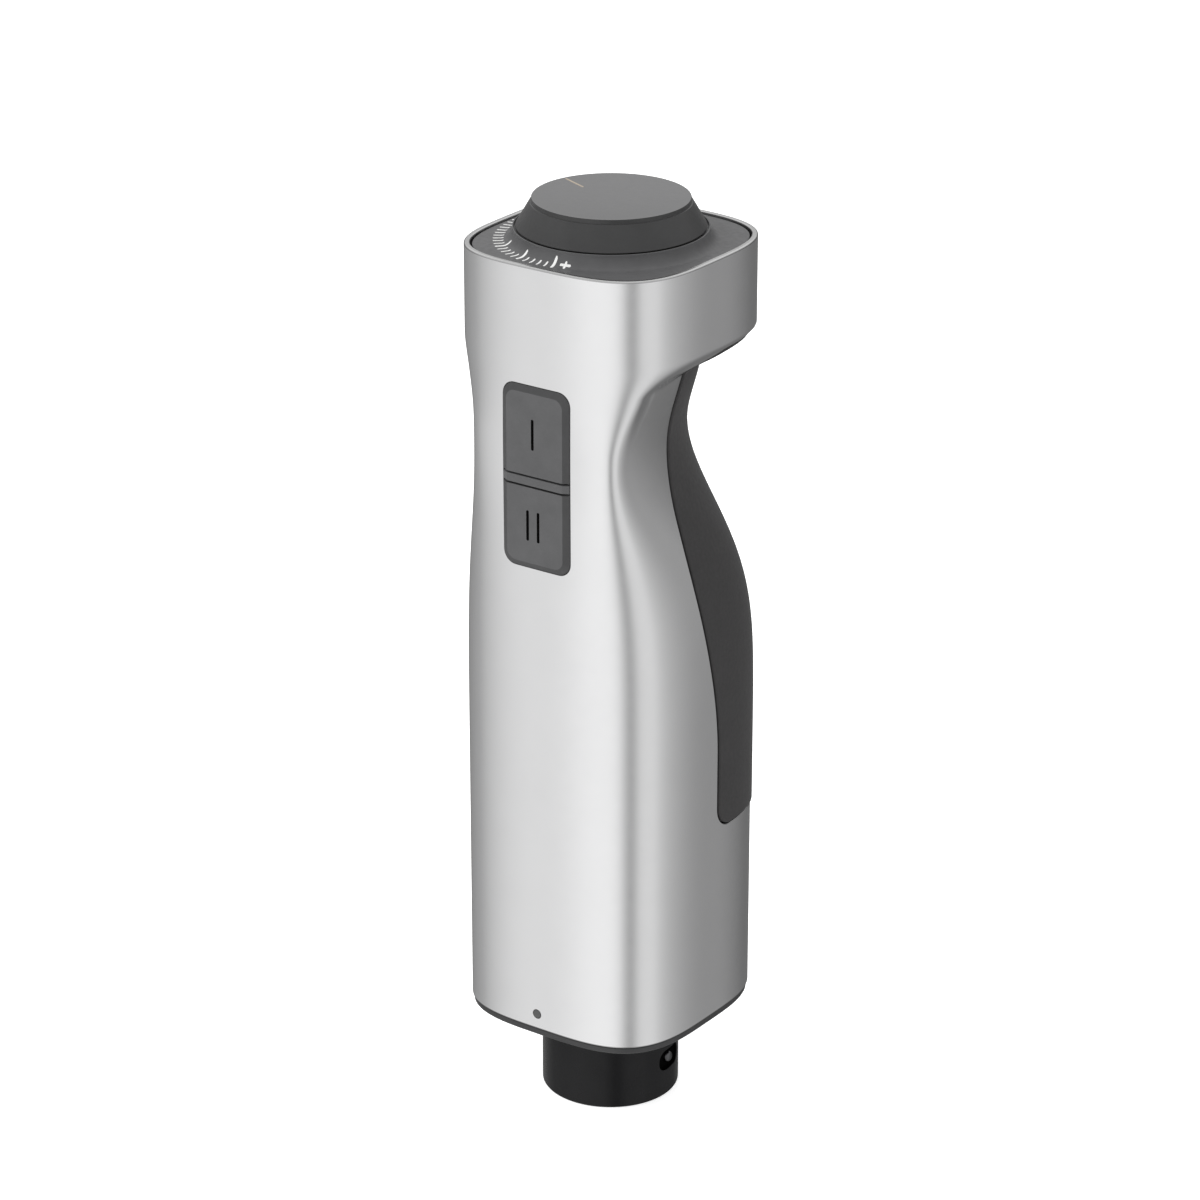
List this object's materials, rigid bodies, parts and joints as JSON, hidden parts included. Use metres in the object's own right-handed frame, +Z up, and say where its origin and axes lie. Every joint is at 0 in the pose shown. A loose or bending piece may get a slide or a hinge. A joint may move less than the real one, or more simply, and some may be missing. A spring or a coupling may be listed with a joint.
{
  "type": "hand blender drive unit",
  "caption": "Cordless hand blender handle with an aluminium shell, finger notch, speed dial, two press buttons and a bayonet spigot.",
  "frame": {"origin": "on the axis of the spigot, in the plane of its foot", "axes": "+Z up along the axis to the dial, -Y is the front with the buttons, +Y is the back with the grip, +X is the object's left side when seen from behind"},
  "size_m": [0.066, 0.0665, 0.2506],
  "materials": {
    "shell_aluminium": "bead-blasted satin",
    "gloss_black": "gloss moulded",
    "ring_black": "satin moulded",
    "grip_grey": "soft-touch matt",
    "plate_grey": "fine satin moulded",
    "dial_grey": "satin, spun top face",
    "button_grey": "fine matt",
    "print_white": "printed ink",
    "pointer_cream": "printed ink",
    "mark_black": "filled engraving",
    "dot_grey": "printed ink",
    "steel": "ground",
    "spring_steel": "drawn wire",
    "bronze": "sintered bronze",
    "copper": "turned copper",
    "winding": "varnished laminations",
    "magnet": "sintered ferrite",
    "contact_brass": "plated",
    "moulding_dark": "glass-filled moulding",
    "plunger_red": "moulded",
    "black_rubber": "matt",
    "cell_wrap": "shrink-wrapped cell",
    "board_green": "solder resist",
    "sink_aluminium": "extruded"
  },
  "bodies": {
    "body": {"body_shell": "shell_aluminium", "base_ring": "ring_black", "coupling_spigot": "gloss_black", "spigot_gasket": "black_rubber", "shaft_seal": "black_rubber", "lower_bearing": "bronze", "upper_bearing": "bronze", "motor_can": "steel", "motor_magnets": "magnet", "brush_holders": "contact_brass", "motor_end_cap": "moulding_dark", "motor_cradle": "moulding_dark", "battery_cells": "cell_wrap", "battery_holder": "moulding_dark", "control_board": "board_green", "heat_sink": "sink_aluminium", "switch_bodies": "moulding_dark", "button_frame": "button_grey", "button_seal": "black_rubber", "grip_panel": "grip_grey", "top_plate": "plate_grey", "scale_marks": "print_white", "potentiometer": "moulding_dark", "potentiometer_nut": "steel", "alignment_dot": "dot_grey", "charging_socket": "moulding_dark", "charging_pin": "contact_brass", "frame_screws": "steel", "board_screws": "steel"},
    "dial": {"speed_dial": "dial_grey", "dial_pointer": "pointer_cream", "potentiometer_shaft": "steel"},
    "upper_button": {"button_one": "button_grey", "button_mark_one": "mark_black", "button_spring_one": "spring_steel", "switch_plunger_one": "plunger_red"},
    "lower_button": {"button_two": "button_grey", "button_mark_two": "mark_black", "button_spring_two": "spring_steel", "switch_plunger_two": "plunger_red"},
    "left_latch": {"lock_pin_left": "steel", "lock_spring_left": "spring_steel"},
    "right_latch": {"lock_pin_right": "steel", "lock_spring_right": "spring_steel"},
    "drive": {"motor_shaft": "steel", "rotor_core": "winding", "commutator": "copper", "cooling_fan": "moulding_dark", "drive_coupling": "moulding_dark"}
  },
  "joints": [
    {"name": "dial_turn", "type": "hinge", "parent": "body", "child": "dial", "pos_m": [0, 0, 0.243], "axis": [0, 0, 1], "range_deg": [-83, 106]},
    {"name": "upper_button_press", "type": "slide", "parent": "body", "child": "upper_button", "axis": [0, 1, 0], "range_m": [0, 0.001], "stiffness_N_per_m": 1500, "springref_m": -0.001},
    {"name": "lower_button_press", "type": "slide", "parent": "body", "child": "lower_button", "axis": [0, 1, 0], "range_m": [0, 0.001], "stiffness_N_per_m": 1500, "springref_m": -0.001},
    {"name": "left_latch_slide", "type": "slide", "parent": "body", "child": "left_latch", "axis": [0.9925, 0.1219, 0], "range_m": [0, 0.0014], "stiffness_N_per_m": 1500, "springref_m": -0.001},
    {"name": "right_latch_slide", "type": "slide", "parent": "body", "child": "right_latch", "axis": [-0.9925, -0.1219, 0], "range_m": [0, 0.0014], "stiffness_N_per_m": 1500, "springref_m": -0.001},
    {"name": "drive_spin", "type": "hinge", "parent": "body", "child": "drive", "pos_m": [0, 0, 0.012], "axis": [0, 0, 1], "continuous": true}
  ]
}
